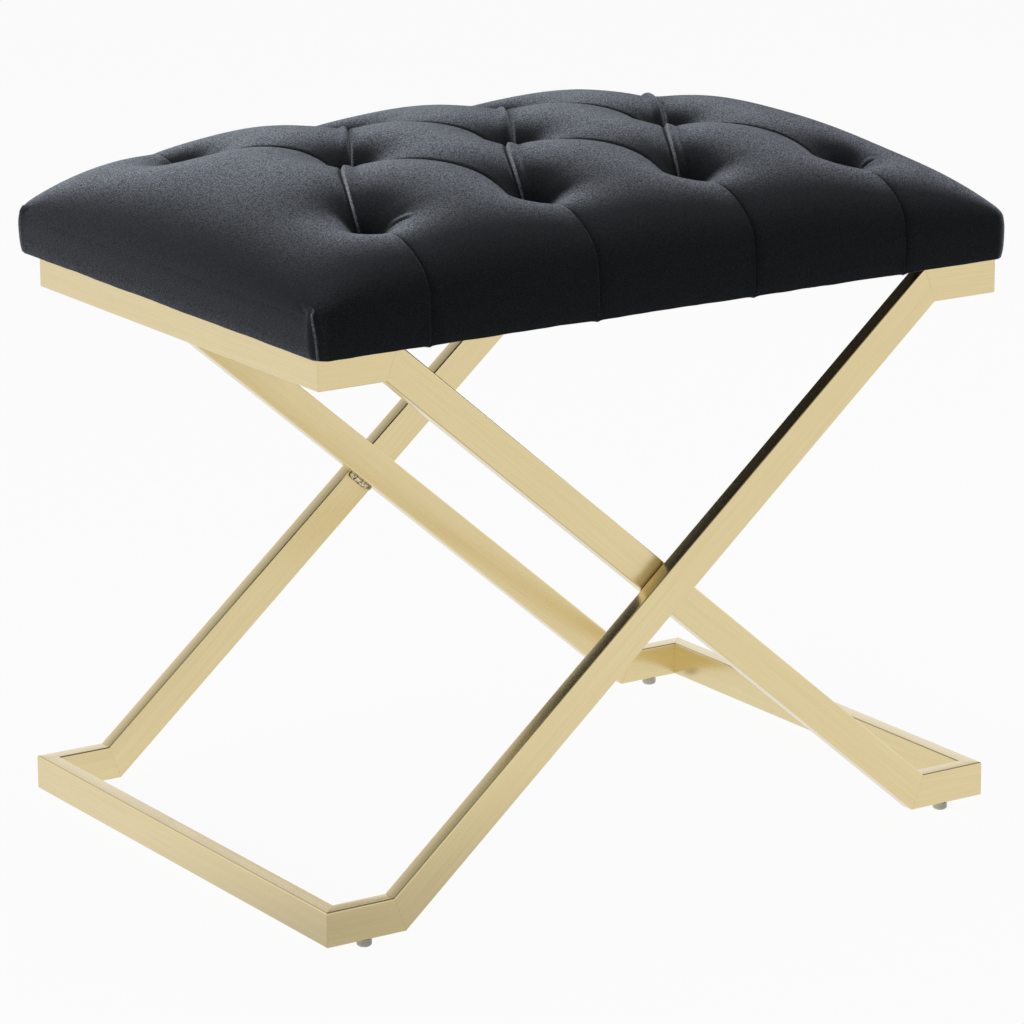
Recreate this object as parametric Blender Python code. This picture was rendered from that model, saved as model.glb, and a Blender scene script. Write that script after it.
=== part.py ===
"""Velvet bench: a diamond-tufted seat on two crossed loops of brushed gold rectangular tube.

Metres, +Z up, +X along the length. The origin is on the floor under the middle of the bench.
"""

import math

import bmesh
import bpy
from mathutils import Matrix, Vector

# Gap kept between pieces that touch on the real bench, and how far a drill runs past a face
GAP = 0.0003
DRILL_OVERRUN = 0.002

# Edges bent more than this stay sharp
SHARP_ANGLE = math.radians(40)

# Frame tube, 1 x 1/2 inch
TUBE_THICK = 0.0125
TUBE_HIGH = 0.025
TUBE_WALL = 0.0010
TUBE_EDGE = 0.0012

# Frame loops: the inner one has its top rail on the left, the outer one on the right
FRAME_TOP = 0.407
TOP_LENGTH = 0.545
BOTTOM_LENGTH = 0.560
OUTER_DEPTH = 0.4094
LOOP_GAP = 0.0008
TOP_BEND = 0.2155
BOTTOM_BEND = 0.2225

# Weld beads under the inner legs, where the loops cross
WELD_LENGTH = 0.023
WELD_RADIUS = 0.0042

# Plastic glides pressed into the bottom stubs
GLIDE_HEIGHT = 0.006
GLIDE_RADIUS = 0.0053
GLIDE_EDGE = 0.0022
GLIDE_STEM_RADIUS = 0.0028
GLIDE_STEM = 0.008
GLIDE_X = 0.2475
GLIDE_SIDES = 20

# Seat outline at the rim and at the drawn-in lower edge
SEAT_LENGTH = 0.565
SEAT_DEPTH = 0.417
SEAT_DRAW_IN = 0.0018
CORNER_DRAW_IN = 0.0036
CORNER_POWER = 16
COVER_THICK = 0.0020
HEM_WIDTH = 0.024
FOAM_INSET = 0.0030

# Seat build-up above the frame
DUST_COVER_THICK = 0.0008
DUST_COVER_INSET = 0.014
BOARD_THICK = 0.012
BOARD_INSET = 0.0042
BOARD_CORNER = 0.018

# Tufted top: crown above the rim, tuft spacing, tuft depth and swell between the folds
RIM_HEIGHT = 0.437
CROWN = 0.058
CROWN_POWER_X = 3.9
CROWN_ROUND_X = 0.50
CROWN_POWER_Y = 2.25
CROWN_ROUND_Y = 0.40
TUFT_STEP = 0.128
TUFT_ROW = 0.107
TUFT_DEPTH = 0.030
TUFT_RADIUS = 0.024
SWELL = 0.0107
FOLD_WIDTH = 0.021
CELLS_PER_HALF_STEP = 3
CELLS_PER_ROW = 3
EVEN_COLUMNS = 12
EVEN_ROWS = 5
EDGE_COLUMNS = (0.272,)
EDGE_ROWS = (0.200,)

# Tuft ties: twine through the foam and the board, with a flat anchor below
TWINE_RADIUS = 0.0012
TWINE_HOLE_RADIUS = 0.0030
TWINE_HOLE_SIDES = 8
TWINE_SIDES = 10
TIE_TOP_BELOW_TUFT = 0.0045
ANCHOR_RADIUS = 0.0070
ANCHOR_THICK = 0.0015

# Steel tabs welded to the top rails, and the screws that hold the seat to them
TAB_SIZE = 0.028
TAB_THICK = 0.003
TAB_Y = 0.110
SCREW_FROM_RAIL = 0.0168
SCREW_RADIUS = 0.0020
SCREW_HOLE_RADIUS = 0.0025
SCREW_HEAD_RADIUS = 0.0041
SCREW_HEAD_HIGH = 0.0024
SCREW_HEAD_FLAT = 0.0025
SCREW_HEAD_SIDE = 0.0013
SCREW_SIDES = 12
SCREW_DEPTH = 0.009
SCREW_POINT = 0.003

# Levels worked out from the sizes above
INNER_DEPTH = OUTER_DEPTH - 2 * (TUBE_THICK + LOOP_GAP)
TOP_AXIS_Z = FRAME_TOP - TUBE_HIGH / 2
BOTTOM_AXIS_Z = GLIDE_HEIGHT + TUBE_HIGH / 2
DUST_COVER_Z = FRAME_TOP + GAP
HEM_Z = DUST_COVER_Z + DUST_COVER_THICK + GAP
BOARD_Z = HEM_Z + COVER_THICK + 3 * GAP
FOAM_Z = BOARD_Z + BOARD_THICK + GAP
LEG_ANGLE = math.atan2(TOP_AXIS_Z - BOTTOM_AXIS_Z, TOP_BEND + BOTTOM_BEND)
SCREW_X = TOP_LENGTH / 2 - TUBE_THICK - GAP - SCREW_FROM_RAIL

Y, Z = Vector((0, 1, 0)), Vector((0, 0, 1))


def clear_scene():
    for old in list(bpy.data.objects):
        bpy.data.objects.remove(old, do_unlink=True)


def finish(name, colour, roughness, metallic=0.0, sheen=0.0):
    material = bpy.data.materials.new(name)
    material.use_nodes = True
    shader = material.node_tree.nodes["Principled BSDF"]
    shader.inputs["Base Color"].default_value = (*colour, 1.0)
    shader.inputs["Roughness"].default_value = roughness
    shader.inputs["Metallic"].default_value = metallic
    shader.inputs["Sheen Weight"].default_value = sheen
    return material


def add_object(name, bm, material, parent, matrix=None):
    """A named object from a bmesh, with its faces turned outwards and shaded smooth between sharp edges."""
    bmesh.ops.recalc_face_normals(bm, faces=bm.faces[:])
    mesh = bpy.data.meshes.new(name)
    bm.to_mesh(mesh)
    bm.free()
    mesh.shade_smooth()
    mesh.set_sharp_from_angle(angle=SHARP_ANGLE)
    mesh.materials.append(material)
    return add_copy(name, mesh, parent, matrix)


def add_copy(name, mesh, parent, matrix=None):
    """An object on a mesh that other objects may share."""
    copy = bpy.data.objects.new(name, mesh)
    bpy.context.scene.collection.objects.link(copy)
    copy.parent = parent
    if matrix is not None:
        copy.matrix_basis = matrix
    return copy


def drill(target, places, radius, low, high, segments=12):
    """Cuts upright round holes through an object at the given (x, y) places."""
    bm = bmesh.new()
    for x, y in places:
        bmesh.ops.create_cone(
            bm, cap_ends=True, segments=segments, radius1=radius, radius2=radius, depth=high - low,
            matrix=Matrix.Translation((x, y, (low + high) / 2)),
        )
    mesh = bpy.data.meshes.new(target.name + "_drill")
    bm.to_mesh(mesh)
    bm.free()
    cutter = bpy.data.objects.new(target.name + "_drill", mesh)
    bpy.context.scene.collection.objects.link(cutter)
    cutter.hide_render = True
    cutter.display_type = "WIRE"
    cut = target.modifiers.new("holes", "BOOLEAN")
    cut.operation = "DIFFERENCE"
    cut.object = cutter


def turned(profile, steps):
    """A closed turned shape from (radius, height) points that start and end on the axis."""
    bm = bmesh.new()
    points = [bm.verts.new((radius, 0, height)) for radius, height in profile]
    edges = [bm.edges.new(pair) for pair in zip(points, points[1:])]
    bmesh.ops.spin(
        bm, geom=points + edges, axis=(0, 0, 1), angle=2 * math.pi, steps=steps, use_merge=True
    )
    bmesh.ops.remove_doubles(bm, verts=bm.verts[:], dist=1e-6)
    return bm


def slab(half_length, half_depth, low, high, corner=0.0):
    """A flat board with rounded upright corners."""
    bm = bmesh.new()
    bmesh.ops.create_cube(bm, size=1.0)
    bmesh.ops.scale(bm, verts=bm.verts[:], vec=(2 * half_length, 2 * half_depth, high - low))
    bmesh.ops.translate(bm, verts=bm.verts[:], vec=(0, 0, (low + high) / 2))
    if corner:
        upright = [e for e in bm.edges if abs(e.verts[0].co.z - e.verts[1].co.z) > (high - low) / 2]
        bmesh.ops.bevel(bm, geom=upright, offset=corner, segments=4, profile=0.5, affect="EDGES")
    return bm


# Frame loops

def loop_points(depth, top_side):
    """Corners and bends of a loop's tube axis, round from the front top corner."""
    y = depth / 2 - TUBE_THICK / 2
    top_corner = top_side * (TOP_LENGTH / 2 - TUBE_THICK / 2)
    bottom_corner = -top_side * (BOTTOM_LENGTH / 2 - TUBE_THICK / 2)
    side = (
        (top_corner, TOP_AXIS_Z),
        (top_side * TOP_BEND, TOP_AXIS_Z),
        (-top_side * BOTTOM_BEND, BOTTOM_AXIS_Z),
        (bottom_corner, BOTTOM_AXIS_Z),
    )
    front = [Vector((x, -y, z)) for x, z in side]
    rear = [Vector((x, y, z)) for x, z in reversed(side)]
    return front + rear


TUBE_NAMES = (
    "top_stub_front",
    "leg_front",
    "bottom_stub_front",
    "bottom_rail",
    "bottom_stub_rear",
    "leg_rear",
    "top_stub_rear",
    "top_rail",
)


def mitred_tube(length, start_normal, end_normal):
    """A hollow tube along local Z, cut at both ends by mitre planes through its axis ends."""
    bm = bmesh.new()
    bmesh.ops.create_grid(bm, x_segments=1, y_segments=1, size=0.5)
    bmesh.ops.scale(bm, verts=bm.verts[:], vec=(TUBE_THICK, TUBE_HIGH, 1))
    bmesh.ops.bevel(bm, geom=bm.verts[:], offset=TUBE_EDGE, segments=2, profile=0.5, affect="VERTICES")
    bm.faces.ensure_lookup_table()
    bore = bm.faces[0]
    wall = bmesh.ops.inset_region(
        bm, faces=[bore], thickness=TUBE_WALL, use_boundary=True, use_even_offset=True
    )["faces"]
    bmesh.ops.delete(bm, geom=[bore], context="FACES_ONLY")
    bmesh.ops.translate(bm, verts=bm.verts[:], vec=(0, 0, -length / 2 - TUBE_HIGH))
    drawn = bmesh.ops.extrude_face_region(bm, geom=wall)["geom"]
    drawn = [v for v in drawn if isinstance(v, bmesh.types.BMVert)]
    bmesh.ops.translate(bm, verts=drawn, vec=(0, 0, length + 2 * TUBE_HIGH))
    for at, normal in ((-length / 2 + GAP / 2, -start_normal), (length / 2 - GAP / 2, end_normal)):
        everything = bm.verts[:] + bm.edges[:] + bm.faces[:]
        cut = bmesh.ops.bisect_plane(
            bm, geom=everything, dist=1e-7, plane_co=(0, 0, at), plane_no=normal, clear_outer=True
        )["geom_cut"]
        bmesh.ops.bridge_loops(bm, edges=[e for e in cut if isinstance(e, bmesh.types.BMEdge)])
    return bm


def build_loop(prefix, depth, top_side, gold, parent):
    """The eight mitred tubes of one loop, as objects by name."""
    points = loop_points(depth, top_side)
    count = len(points)
    along = [(points[(k + 1) % count] - points[k]).normalized() for k in range(count)]
    tubes = {}
    for k, name in enumerate(TUBE_NAMES):
        start, end = points[k], points[(k + 1) % count]
        axis = along[k]
        high = Z if abs(axis.y) > 0.5 else axis.cross(Y).normalized()
        thick = high.cross(axis)
        turn = Matrix((thick, high, axis)).transposed()
        into = turn.inverted() @ (along[k - 1] + axis).normalized()
        out = turn.inverted() @ (axis + along[(k + 1) % count]).normalized()
        bm = mitred_tube((end - start).length, into, out)
        place = Matrix.Translation((start + end) / 2) @ turn.to_4x4()
        tubes[name] = add_object(f"{prefix}_{name}", bm, gold, parent, place)
    return tubes


def build_weld(name, side, gold, parent):
    """A bead along the lower edge of an inner leg, on the outer leg's inner face."""
    bm = bmesh.new()
    bmesh.ops.create_uvsphere(bm, u_segments=12, v_segments=8, radius=1.0)
    bmesh.ops.scale(bm, verts=bm.verts[:], vec=(WELD_LENGTH / 2, WELD_RADIUS, WELD_RADIUS))
    for normal in (Y, Z):
        everything = bm.verts[:] + bm.edges[:] + bm.faces[:]
        cut = bmesh.ops.bisect_plane(
            bm, geom=everything, dist=1e-7, plane_co=normal * GAP, plane_no=normal, clear_inner=True
        )["geom_cut"]
        bmesh.ops.holes_fill(bm, edges=[e for e in cut if isinstance(e, bmesh.types.BMEdge)])
    cos, sin = math.cos(LEG_ANGLE), math.sin(LEG_ANGLE)
    inner_leg = Vector((cos, 0, -sin))
    below = Vector((-sin, 0, -cos))
    outer_leg = Vector((-cos, 0, -sin))
    drop = TOP_BEND / (TOP_BEND + BOTTOM_BEND) * (TOP_AXIS_Z - BOTTOM_AXIS_Z)
    crossing = Vector((0, 0, TOP_AXIS_Z - drop))
    corner = crossing + outer_leg * (TUBE_HIGH / 2 / math.sin(2 * LEG_ANGLE))
    corner.y = side * (OUTER_DEPTH / 2 - TUBE_THICK - LOOP_GAP)
    turn = Matrix((inner_leg, Vector((0, -side, 0)), below)).transposed()
    bmesh.ops.transform(bm, matrix=Matrix.Translation(corner) @ turn.to_4x4(), verts=bm.verts[:])
    add_object(name, bm, gold, parent)


def glide_profile():
    """Flat foot, rounded lower edge, straight side and a stem."""
    points = [(0, 0)]
    for step in range(4):
        angle = math.pi / 2 * step / 3
        points.append((
            GLIDE_RADIUS - GLIDE_EDGE + GLIDE_EDGE * math.sin(angle),
            GLIDE_EDGE * (1 - math.cos(angle)),
        ))
    shoulder = GLIDE_HEIGHT - GAP
    top = GLIDE_HEIGHT + GLIDE_STEM
    points += [(GLIDE_RADIUS, shoulder), (GLIDE_STEM_RADIUS, shoulder), (GLIDE_STEM_RADIUS, top), (0, top)]
    return points


def build_glides(loops, plastic, parent):
    """A glide in each bottom stub, which is drilled for the stem."""
    bm = turned(glide_profile(), GLIDE_SIDES)
    mesh = None
    for (loop, depth, side_x), label_x in ((loops[0], "right"), (loops[1], "left")):
        for side_y, label_y in ((-1, "front"), (1, "rear")):
            spot = (side_x * GLIDE_X, side_y * (depth / 2 - TUBE_THICK / 2))
            name = f"glide_{label_y}_{label_x}"
            place = Matrix.Translation((*spot, 0))
            if mesh is None:
                mesh = add_object(name, bm, plastic, parent, place).data
            else:
                add_copy(name, mesh, parent, place)
            stub = loop[f"bottom_stub_{label_y}"]
            low, high = GLIDE_HEIGHT - DRILL_OVERRUN, GLIDE_HEIGHT + TUBE_WALL + DRILL_OVERRUN
            drill(stub, [spot], GLIDE_STEM_RADIUS + 2 * GAP, low, high)


# Tufted seat

def tuft_places():
    """Named tufts in three rows: four in front, three between them, four at the back."""
    rows = (
        ("front", -TUFT_ROW, (-1.5, -0.5, 0.5, 1.5)),
        ("middle", 0.0, (-1.0, 0.0, 1.0)),
        ("back", TUFT_ROW, (-1.5, -0.5, 0.5, 1.5)),
    )
    return {
        f"{row}_{k}": Vector((step * TUFT_STEP, y))
        for row, y, steps in rows
        for k, step in enumerate(steps, 1)
    }


TUFTS = tuft_places()


def fold_lines():
    """Diagonal folds between tufts, and straight ones from the outer rows over the edge."""
    folds = []
    for name, tuft in TUFTS.items():
        if name.startswith("middle"):
            for sx in (-1, 1):
                for sy in (-1, 1):
                    folds.append((tuft, tuft + Vector((sx * TUFT_STEP / 2, sy * TUFT_ROW))))
        else:
            edge = math.copysign(SEAT_DEPTH / 2, tuft.y)
            folds.append((tuft, Vector((tuft.x, edge))))
    return folds


FOLDS = fold_lines()


def distance_to_fold(point):
    nearest = math.inf
    for start, end in FOLDS:
        run = end - start
        along = max(0.0, min(1.0, (point - start).dot(run) / run.length_squared))
        nearest = min(nearest, (point - start - run * along).length)
    return nearest


def crown_height(x, y):
    """Height of the folds between tufts, and the share of the full crown there, none at the rim."""
    across = max(0.0, 1 - abs(2 * x / SEAT_LENGTH) ** CROWN_POWER_X) ** CROWN_ROUND_X
    deep = max(0.0, 1 - abs(2 * y / SEAT_DEPTH) ** CROWN_POWER_Y) ** CROWN_ROUND_Y
    return RIM_HEIGHT + CROWN * across * deep, across * deep


def top_height(x, y):
    """Height of the tufted top: the crown, swollen between folds and drawn down at tufts."""
    point = Vector((x, y))
    height, inside = crown_height(x, y)
    swell = SWELL * inside * (1 - math.exp(-distance_to_fold(point) / FOLD_WIDTH))
    draw = max(math.exp(-(point - tuft).length / TUFT_RADIUS) for tuft in TUFTS.values())
    return height + swell - TUFT_DEPTH * draw


def ruled(cell, count, edges, rim):
    """Grid lines for one half of the seat: even cells, closer edge lines, then the rim."""
    half = [cell * k for k in range(count + 1)] + list(edges) + [rim]
    return [-v for v in reversed(half[1:])] + half


def tufted_top():
    """The top of the seat as a grid whose cell diagonals follow the folds."""
    cell_x = TUFT_STEP / 2 / CELLS_PER_HALF_STEP
    cell_y = TUFT_ROW / CELLS_PER_ROW
    columns = ruled(cell_x, EVEN_COLUMNS, EDGE_COLUMNS, SEAT_LENGTH / 2)
    rows = ruled(cell_y, EVEN_ROWS, EDGE_ROWS, SEAT_DEPTH / 2)
    last_x, last_y = len(columns) - 1, len(rows) - 1
    bm = bmesh.new()
    bmesh.ops.create_grid(bm, x_segments=last_x, y_segments=last_y, size=0.5)
    cell_of = {}
    for vert in bm.verts:
        i, j = round((vert.co.x + 0.5) * last_x), round((vert.co.y + 0.5) * last_y)
        cell_of[vert] = (i - last_x // 2, j - last_y // 2)
        x, y = columns[i], rows[j]
        vert.co = (x, y, top_height(x, y))
        corner = (abs(2 * x / SEAT_LENGTH) * abs(2 * y / SEAT_DEPTH)) ** CORNER_POWER
        vert.co.x -= math.copysign(CORNER_DRAW_IN * corner, x)
        vert.co.y -= math.copysign(CORNER_DRAW_IN * corner, y)
    period = 2 * CELLS_PER_HALF_STEP
    for face in bm.faces[:]:
        corners = {cell_of[v]: v for v in face.verts}
        i, j = min(corners)
        rising = (i % period < CELLS_PER_HALF_STEP) == (j >= 0)
        ends = ((i, j), (i + 1, j + 1)) if rising else ((i + 1, j), (i, j + 1))
        bmesh.utils.face_split(face, corners[ends[0]], corners[ends[1]])
    return bm


def draw_down(bm, height, inset):
    """Runs the skin's open edge down to a height, drawn in by an inset."""
    border = [e for e in bm.edges if e.is_boundary]
    drawn = bmesh.ops.extrude_edge_only(bm, edges=border)["geom"]
    drawn = [v for v in drawn if isinstance(v, bmesh.types.BMVert)]
    bmesh.ops.scale(bm, verts=drawn, vec=(1 - 2 * inset / SEAT_LENGTH, 1 - 2 * inset / SEAT_DEPTH, 1))
    for vert in drawn:
        vert.co.z = height


def build_cover(velvet, parent):
    """The velvet skin, wrapped under the board and hemmed."""
    bm = tufted_top()
    draw_down(bm, HEM_Z, SEAT_DRAW_IN)
    draw_down(bm, HEM_Z, HEM_WIDTH)
    cover = add_object("velvet_cover", bm, velvet, parent)
    wall = cover.modifiers.new("cloth", "SOLIDIFY")
    wall.thickness = COVER_THICK
    wall.offset = -1
    wall.use_even_offset = True


def build_foam(foam, parent):
    """The foam block under the velvet, with the same tufts, holed for the twine."""
    bm = tufted_top()
    draw_down(bm, FOAM_Z, SEAT_DRAW_IN / 2)
    bmesh.ops.recalc_face_normals(bm, faces=bm.faces[:])
    bm.normal_update()
    inward = {v: v.normal * v.calc_shell_factor() * -FOAM_INSET for v in bm.verts}
    lower = {v for e in bm.edges if e.is_boundary for v in e.verts}
    for vert, move in inward.items():
        vert.co += move
        if vert in lower:
            vert.co.z = FOAM_Z
    bmesh.ops.holes_fill(bm, edges=[e for e in bm.edges if e.is_boundary])
    block = add_object("foam_pad", bm, foam, parent)
    low, high = FOAM_Z - DRILL_OVERRUN, RIM_HEIGHT + CROWN + SWELL + DRILL_OVERRUN
    drill(block, [tuple(t) for t in TUFTS.values()], TWINE_HOLE_RADIUS, low, high, TWINE_HOLE_SIDES)


def build_ties(twine, parent):
    """One length of twine per tuft, from its anchor under the board to the back of the velvet."""
    anchor_low = BOARD_Z - GAP - ANCHOR_THICK
    for name, tuft in TUFTS.items():
        top = top_height(*tuft) - TIE_TOP_BELOW_TUFT
        profile = (
            (0, anchor_low),
            (ANCHOR_RADIUS, anchor_low),
            (ANCHOR_RADIUS, anchor_low + ANCHOR_THICK),
            (TWINE_RADIUS, anchor_low + ANCHOR_THICK),
            (TWINE_RADIUS, top),
            (0, top),
        )
        place = Matrix.Translation((*tuft, 0))
        add_object(f"tuft_tie_{name}", turned(profile, TWINE_SIDES), twine, parent, place)


def screw_places():
    return {
        f"{y_name}_{x_name}": (sx * SCREW_X, sy * TAB_Y)
        for x_name, sx in (("left", -1), ("right", 1))
        for y_name, sy in (("front", -1), ("rear", 1))
    }


def build_seat_board(wood, parent):
    board = add_object(
        "seat_board",
        slab(
            SEAT_LENGTH / 2 - SEAT_DRAW_IN - BOARD_INSET,
            SEAT_DEPTH / 2 - SEAT_DRAW_IN - BOARD_INSET,
            BOARD_Z,
            BOARD_Z + BOARD_THICK,
            BOARD_CORNER,
        ),
        wood,
        parent,
    )
    low, high = BOARD_Z - DRILL_OVERRUN, BOARD_Z + BOARD_THICK + DRILL_OVERRUN
    drill(board, [tuple(t) for t in TUFTS.values()], TWINE_HOLE_RADIUS, low, high, TWINE_HOLE_SIDES)
    return board


def build_dust_cover(cloth, parent):
    inset = SEAT_DRAW_IN + DUST_COVER_INSET
    sheet = slab(
        SEAT_LENGTH / 2 - inset,
        SEAT_DEPTH / 2 - inset,
        DUST_COVER_Z,
        DUST_COVER_Z + DUST_COVER_THICK,
        BOARD_CORNER,
    )
    return add_object("dust_cover", sheet, cloth, parent)


def build_seat_fixings(board, dust_cover, gold, zinc, parent):
    """Tabs on the top rails and the screws that go up through them into the board."""
    head_top = FRAME_TOP - TAB_THICK - GAP
    tip = BOARD_Z + SCREW_DEPTH
    screw = turned(
        (
            (0, head_top - SCREW_HEAD_HIGH),
            (SCREW_HEAD_FLAT, head_top - SCREW_HEAD_HIGH),
            (SCREW_HEAD_RADIUS, head_top - SCREW_HEAD_SIDE),
            (SCREW_HEAD_RADIUS, head_top),
            (SCREW_RADIUS, head_top),
            (SCREW_RADIUS, tip - SCREW_POINT),
            (0, tip),
        ),
        SCREW_SIDES,
    )
    places = screw_places()
    mesh = None
    for name, (x, y) in places.items():
        side = math.copysign(1, x)
        tab = slab(TAB_SIZE / 2, TAB_SIZE / 2, FRAME_TOP - TAB_THICK, FRAME_TOP)
        middle = side * (TOP_LENGTH / 2 - TUBE_THICK - GAP - TAB_SIZE / 2)
        bmesh.ops.translate(tab, verts=tab.verts[:], vec=(middle, y, 0))
        plate = add_object(f"seat_tab_{name}", tab, gold, parent)
        low, high = FRAME_TOP - TAB_THICK - DRILL_OVERRUN, FRAME_TOP + DRILL_OVERRUN
        drill(plate, [(x, y)], SCREW_HOLE_RADIUS, low, high)
        place = Matrix.Translation((x, y, 0))
        if mesh is None:
            mesh = add_object(f"seat_screw_{name}", screw, zinc, parent, place).data
        else:
            add_copy(f"seat_screw_{name}", mesh, parent, place)
    spots = list(places.values())
    drill(dust_cover, spots, SCREW_HOLE_RADIUS, DUST_COVER_Z - DRILL_OVERRUN, HEM_Z + DRILL_OVERRUN)
    drill(board, spots, SCREW_HOLE_RADIUS, BOARD_Z - DRILL_OVERRUN, tip + GAP)


def main():
    clear_scene()
    bench = bpy.data.objects.new("bench", None)
    bpy.context.scene.collection.objects.link(bench)

    gold = finish("brushed_gold", (0.78, 0.66, 0.40), 0.34, metallic=1.0)
    velvet = finish("black_velvet", (0.013, 0.014, 0.017), 0.85, sheen=0.5)
    foam = finish("seat_foam", (0.85, 0.80, 0.62), 0.95)
    wood = finish("plywood", (0.62, 0.46, 0.29), 0.75)
    lining = finish("black_lining", (0.02, 0.02, 0.02), 0.95)
    twine = finish("waxed_twine", (0.74, 0.70, 0.60), 0.8)
    plastic = finish("clear_white_plastic", (0.78, 0.79, 0.80), 0.35)
    zinc = finish("zinc_plate", (0.62, 0.62, 0.63), 0.35, metallic=1.0)

    inner = build_loop("inner_frame", INNER_DEPTH, -1, gold, bench)
    outer = build_loop("outer_frame", OUTER_DEPTH, 1, gold, bench)
    build_weld("crossing_weld_front", -1, gold, bench)
    build_weld("crossing_weld_rear", 1, gold, bench)
    build_glides(((inner, INNER_DEPTH, 1), (outer, OUTER_DEPTH, -1)), plastic, bench)

    board = build_seat_board(wood, bench)
    lining_sheet = build_dust_cover(lining, bench)
    build_seat_fixings(board, lining_sheet, gold, zinc, bench)
    build_foam(foam, bench)
    build_ties(twine, bench)
    build_cover(velvet, bench)


main()
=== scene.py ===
"""Looks of the velvet bench: brushed gold tube loops under a diamond-tufted black velvet seat.

Metres, +Z up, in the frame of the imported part. The origin is on the floor under the middle of the bench.
"""

import math

import bmesh
import bpy
import numpy as np
from mathutils import Matrix, Vector, noise


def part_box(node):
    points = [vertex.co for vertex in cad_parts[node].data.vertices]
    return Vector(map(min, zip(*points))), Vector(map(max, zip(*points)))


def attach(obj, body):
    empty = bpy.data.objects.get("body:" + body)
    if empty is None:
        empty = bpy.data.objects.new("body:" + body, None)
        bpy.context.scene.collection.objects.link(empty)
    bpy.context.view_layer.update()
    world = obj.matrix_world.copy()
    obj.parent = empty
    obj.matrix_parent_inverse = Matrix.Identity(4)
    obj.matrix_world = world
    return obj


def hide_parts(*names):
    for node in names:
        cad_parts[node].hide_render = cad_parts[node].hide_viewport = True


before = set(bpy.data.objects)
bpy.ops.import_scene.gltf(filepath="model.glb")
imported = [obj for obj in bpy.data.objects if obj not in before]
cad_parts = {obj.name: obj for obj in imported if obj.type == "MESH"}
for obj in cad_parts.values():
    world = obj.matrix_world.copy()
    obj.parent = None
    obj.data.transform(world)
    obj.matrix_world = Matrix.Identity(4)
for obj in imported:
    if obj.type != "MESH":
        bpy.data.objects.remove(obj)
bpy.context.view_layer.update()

# Camera at the photograph's viewing angle
CAMERA_PLACE = (-1.86975, -2.88646, 1.14834)
CAMERA_TURN = (74.8626, 0.3075, -33.0261)
CAMERA_LENS = 175.15
CAMERA_SENSOR = 36
CAMERA_END = 100

# Frame tube
TUBE_THICK = 0.0125
TUBE_HIGH = 0.025
TUBE_WALL = 0.0010
TUBE_EDGE = 0.0013
TUBE_EDGE_STEPS = 6
MITRE_GAP = 0.00006
GRAIN_STEP = (0.31, 0.17, 0.53)

# Frame loops: the inner one has its top rail on the left, the outer one on the right
GLIDE_HEIGHT = 0.006
FRAME_TOP = 0.407
TOP_LENGTH = 0.545
BOTTOM_LENGTH = 0.560
OUTER_DEPTH = 0.4094
LOOP_GAP = 0.0008
INNER_DEPTH = OUTER_DEPTH - 2 * (TUBE_THICK + LOOP_GAP)
TOP_BEND = 0.2155
BOTTOM_BEND = 0.2225
TOP_AXIS_Z = FRAME_TOP - TUBE_HIGH / 2
BOTTOM_AXIS_Z = GLIDE_HEIGHT + TUBE_HIGH / 2
LEG_ANGLE = math.atan2(TOP_AXIS_Z - BOTTOM_AXIS_Z, TOP_BEND + BOTTOM_BEND)

# Weld beads where the loops cross
WELD_LENGTH = 0.023
WELD_RADIUS = 0.0031
WELD_LUMPS = 0.0007
WELD_LUMP_FINENESS = (5, 2, 2)
WELD_GAP = 0.0002

# Plastic glides
GLIDE_RADIUS = 0.0053
GLIDE_EDGE = 0.0022
GLIDE_STEM_RADIUS = 0.0028
GLIDE_STEM = 0.008
GLIDE_GAP = 0.0003
GLIDE_EDGE_STEPS = 8
GLIDE_SIDES = 48

# Seat levels and outline
SEAT_LENGTH = 0.565
SEAT_DEPTH = 0.417
SEAT_CORNER = 0.012
HEM_Z = 0.4084
HEM_WIDTH = 0.024
LIP_Z = 0.4060
LIP_ROUND = 0.0011
HEM_RISE = 0.0012
HEM_TURN_ROWS = 3
INSET_FROM_X = 0.200
INSET_FROM_Y = 0.115
COVER_THICK = 0.0022
PILE_INSET = 0.0037
SIDE_DRAW_IN = 0.0010
SIDE_BULGE = 0.0012
SIDE_BULGE_POWER = 3
RIM_HEIGHT = 0.4345

# Tufted top
CROWN = 0.0645
CROWN_POWER_X = 3.9
CROWN_ROUND_X = 0.50
CROWN_POWER_Y = 2.25
CROWN_ROUND_Y = 0.40
TUFT_STEP = 0.128
TUFT_ROW = 0.107
TUFT_DEPTH = 0.0325
TUFT_RADIUS = 0.0200
TUFT_SLOT = 0.008
BACK_RISE = 0.0018
SWELL = 0.0055
FOLD_WIDTH = 0.020
FOLD_BLEND = 0.0060

# How far each tuft, and each pleat at the front edge, stands off the even pattern in the photograph
TUFT_SHIFTS = (
    (0.002, -0.013), (0.002, -0.016), (0.002, -0.014), (0.005, -0.016),
    (-0.002, 0.0), (-0.001, -0.008), (0.001, -0.009),
    (0.0, 0.010), (0.001, 0.008), (0.004, 0.006), (0.001, 0.008),
)
FRONT_PLEAT_SHIFTS = (-0.0058, -0.001, -0.001, -0.002)
SHIFT_REACH = 0.042
SHIFT_HOLD_POWER = 6
FLAP_BOWS = (0.0105, 0.0098, 0.0065)
FLAP_BOW_REACH = 0.024
FLAP_BOW_SKEW = 0.75

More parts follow.
